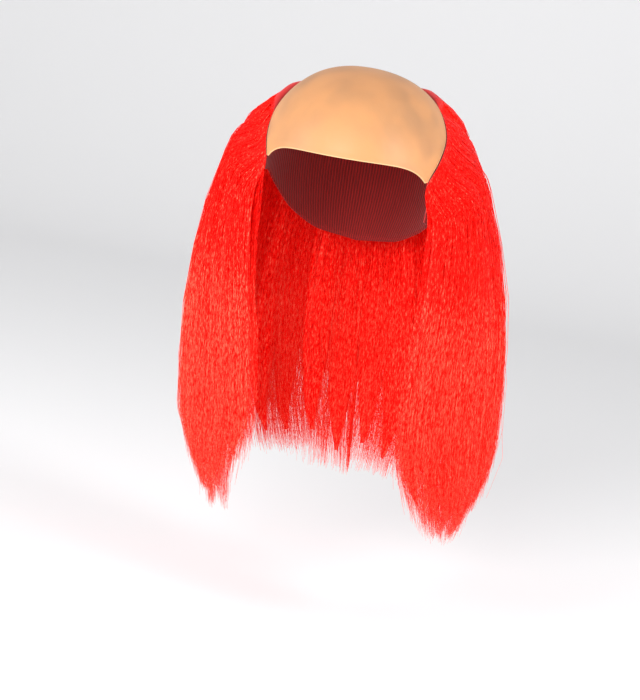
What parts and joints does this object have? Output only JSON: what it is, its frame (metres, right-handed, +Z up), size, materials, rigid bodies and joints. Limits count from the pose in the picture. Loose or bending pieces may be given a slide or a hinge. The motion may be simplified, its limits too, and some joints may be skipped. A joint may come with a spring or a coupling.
{
  "type": "clown wig",
  "caption": "Bald rubber pate over a cloth wig cap, with long straight red hair falling in locks round the sides and back, as worn on a head",
  "frame": {"origin": "on the inner face of the pate at its top, where the crown of the head bears", "axes": "+Z up, the wearer faces -Y, +X is the wearer's left"},
  "size_m": [0.2709, 0.2155, 0.3845],
  "materials": {
    "latex": "matt flesh-coloured latex",
    "cap_cloth": "knitted red cloth",
    "hair": "straight synthetic hair fibre, bright red with a soft sheen"
  },
  "bodies": {
    "root": {"bald_pate": "latex", "wig_cap": "cap_cloth", "hair_left": "hair", "hair_right": "hair", "hair_back": "hair"}
  },
  "joints": []
}
